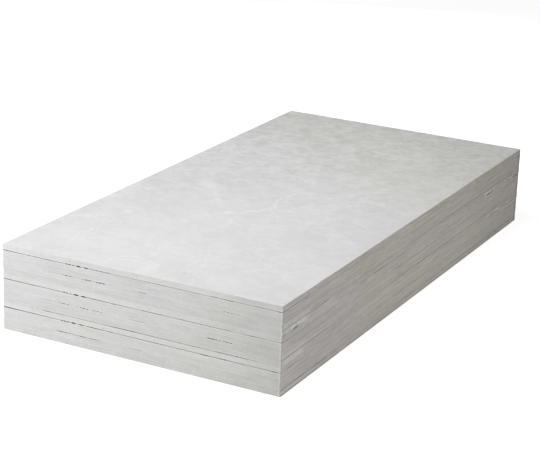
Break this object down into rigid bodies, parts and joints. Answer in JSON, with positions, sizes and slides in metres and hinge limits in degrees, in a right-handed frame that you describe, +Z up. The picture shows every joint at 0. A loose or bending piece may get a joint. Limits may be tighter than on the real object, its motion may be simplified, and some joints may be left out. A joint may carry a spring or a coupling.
{
  "type": "ceiling board stack",
  "caption": "Flush stack of thin, flat, pale-grey fibre-cement ceiling boards with lightly worn arrises, lying flat on its lowest board.",
  "frame": {"origin": "on the floor, at the middle of the stack's footprint", "axes": "+Z up through the boards' thickness, +Y along their length, +X across their width"},
  "size_m": [0.6256, 1.2506, 0.18],
  "materials": {
    "board": "matt fibre cement, pale grey, softly mottled on the faces and streaked along the cut edges"
  },
  "bodies": {
    "root": {"board_01": "board", "board_02": "board", "board_03": "board", "board_04": "board", "board_05": "board", "board_06": "board", "board_07": "board", "board_08": "board", "board_09": "board", "board_10": "board", "board_11": "board", "board_12": "board", "board_13": "board", "board_14": "board", "board_15": "board"}
  },
  "joints": []
}
